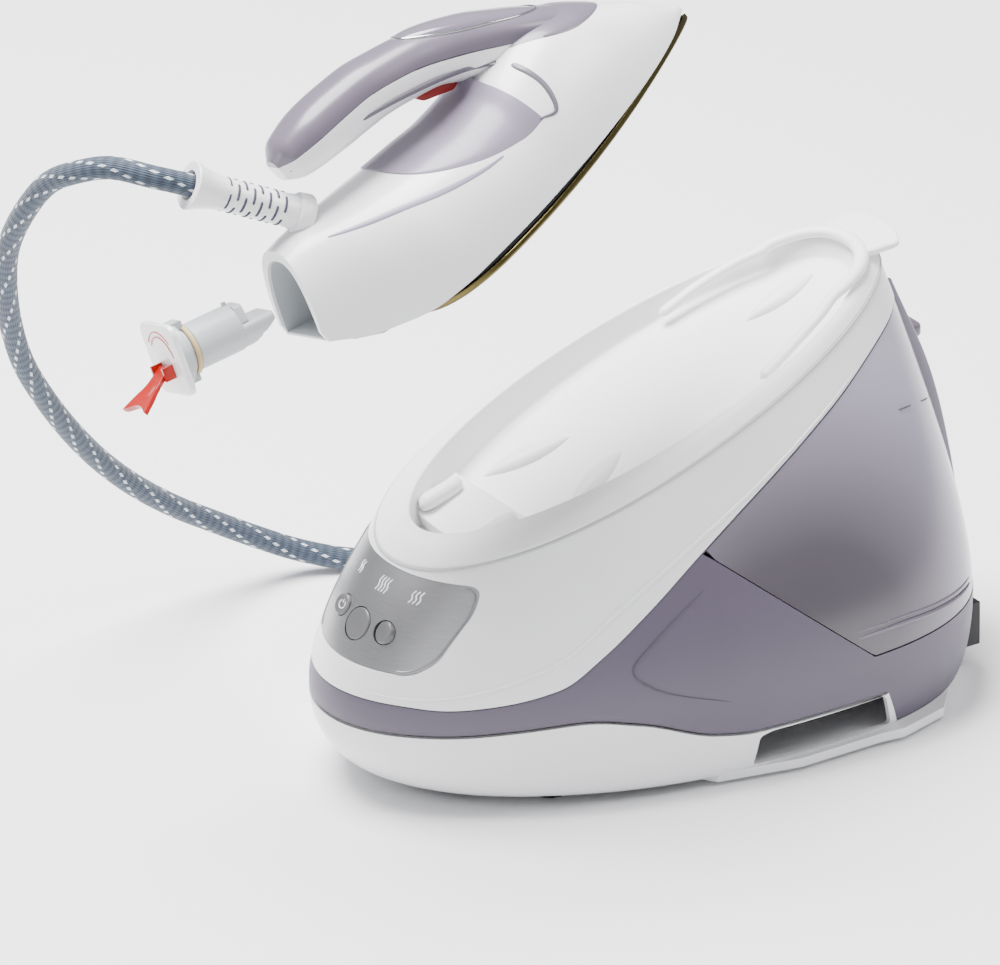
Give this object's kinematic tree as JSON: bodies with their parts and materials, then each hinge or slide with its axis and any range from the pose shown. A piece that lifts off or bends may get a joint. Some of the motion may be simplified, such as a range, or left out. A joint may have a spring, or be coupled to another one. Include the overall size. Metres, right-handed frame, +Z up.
{
  "type": "steam generator iron",
  "caption": "Steam generator iron: wedge-shaped base with water tank, boiler and sloping tray, and a corded-hose steam iron held over it.",
  "frame": {"origin": "centre of the flat rest pad under the base plate, on the floor", "axes": "+X to the rear (tank end), -X to the control panel, +Y to the left seen from the panel looking to the rear, +Z up"},
  "size_m": [0.5794, 0.4274, 0.442],
  "materials": {
    "white_shell": "satin white moulding",
    "lilac_band": "fine matt lilac-grey moulding",
    "smoke_tank": "translucent smoky lilac moulding",
    "mauve_handle": "satin mauve moulding",
    "panel_silver": "brushed silver foil on the moulding",
    "key_grey": "satin grey",
    "dark_part": "matt dark",
    "red_key": "glossy red-orange",
    "steel": "plain steel",
    "sole_enamel": "hard olive-brown enamel on aluminium",
    "brass": "plain brass",
    "board": "green laminate",
    "seal": "beige silicone",
    "braid": "blue-grey braided textile with pale flecks",
    "lamp": "milky lens"
  },
  "bodies": {
    "base": {"base_plate": "white_shell", "lower_hull": "white_shell", "side_band": "lilac_band", "upper_shell": "white_shell", "iron_rest_tray": "white_shell", "heel_stop": "white_shell", "control_panel": "panel_silver", "light_window_1": "lamp", "light_window_2": "lamp", "light_window_3": "lamp", "control_board": "board", "foot_1": "dark_part", "foot_2": "dark_part", "foot_3": "dark_part", "foot_4": "dark_part", "tank_socket": "white_shell", "socket_seal": "dark_part", "boiler_lower": "steel", "boiler_upper": "steel", "boiler_heater": "steel", "boiler_thermostat": "key_grey", "water_pump": "key_grey", "pump_pipe": "seal", "boiler_pipe": "seal", "solenoid_valve": "brass", "power_board": "board", "mains_inlet": "dark_part", "hose_gland": "white_shell", "steam_hose": "braid", "hose_tail": "braid", "hose_coil": "braid", "coil_tie": "dark_part"},
    "tank": {"water_tank": "smoke_tank", "tank_grip": "lilac_band", "tank_valve": "key_grey"},
    "cap": {"tank_cap": "lilac_band"},
    "hoop": {"lock_hoop": "white_shell"},
    "power_key": {"power_button": "key_grey"},
    "mode_key": {"mode_button": "key_grey"},
    "descale_key": {"descale_button": "key_grey"},
    "sleeve": {"hose_sleeve": "white_shell"},
    "iron": {"soleplate": "sole_enamel", "heat_shield": "dark_part", "iron_body": "white_shell", "collector_liner": "key_grey", "heater_block": "steel", "heating_element": "steel", "iron_thermostat": "brass", "handle_lower": "white_shell", "handle_top": "mauve_handle", "trigger_spring": "steel", "trigger_switch": "dark_part", "well_cover": "mauve_handle"},
    "trigger": {"steam_trigger": "red_key"},
    "turbo_key": {"top_button": "key_grey"},
    "collector": {"collector_body": "key_grey", "collector_seal": "seal", "collector_plate": "white_shell", "lever_pin": "steel"},
    "lever": {"collector_lever": "red_key"}
  },
  "joints": [
    {"name": "iron_lift", "type": "slide", "parent": "base", "child": "sleeve", "axis": [-0.5743, 0.0845, 0.8143], "range_m": [-0.15382, 0]},
    {"name": "iron_tilt", "type": "hinge", "parent": "sleeve", "child": "iron", "pos_m": [-0.22071, 0.013, 0.35495], "axis": [0.8562, 0.4629, 0.2294], "range_deg": [-1, 23.67]},
    {"name": "collector_slide", "type": "slide", "parent": "iron", "child": "collector", "axis": [0.9785, -0.056, 0.1985], "range_m": [0, 0.077]},
    {"name": "lever_fold", "type": "hinge", "parent": "collector", "child": "lever", "pos_m": [-0.31707, 0.00243, 0.28844], "axis": [0.119, 0.9393, -0.3218], "range_deg": [-56, 0]},
    {"name": "trigger_press", "type": "slide", "parent": "iron", "child": "trigger", "axis": [-0.5079, 0.336, 0.7932], "range_m": [0, 0.0015], "stiffness_N_per_m": 600},
    {"name": "turbo_press", "type": "slide", "parent": "iron", "child": "turbo_key", "axis": [0.0153, -0.3257, -0.9453], "range_m": [0, 0.0015], "stiffness_N_per_m": 500},
    {"name": "power_press", "type": "slide", "parent": "base", "child": "power_key", "axis": [0.8601, 0, -0.5101], "range_m": [0, 0.001], "stiffness_N_per_m": 500},
    {"name": "mode_press", "type": "slide", "parent": "base", "child": "mode_key", "axis": [0.8601, 0, -0.5101], "range_m": [0, 0.001], "stiffness_N_per_m": 500},
    {"name": "descale_press", "type": "slide", "parent": "base", "child": "descale_key", "axis": [0.8601, 0, -0.5101], "range_m": [0, 0.001], "stiffness_N_per_m": 500},
    {"name": "hoop_lift", "type": "hinge", "parent": "base", "child": "hoop", "pos_m": [0.046, 0, 0.2075], "axis": [0, -1, 0], "range_deg": [0, 18]},
    {"name": "tank_slide", "type": "slide", "parent": "base", "child": "tank", "axis": [1, 0, 0], "range_m": [0, 0.12]},
    {"name": "cap_open", "type": "hinge", "parent": "tank", "child": "cap", "pos_m": [0.1815, 0, 0.1822], "axis": [0, 1, 0], "range_deg": [0, 75]}
  ],
  "couplings": [
    {"joint": "iron_tilt", "follows": "iron_lift", "rad_per_m": -2.5718}
  ]
}
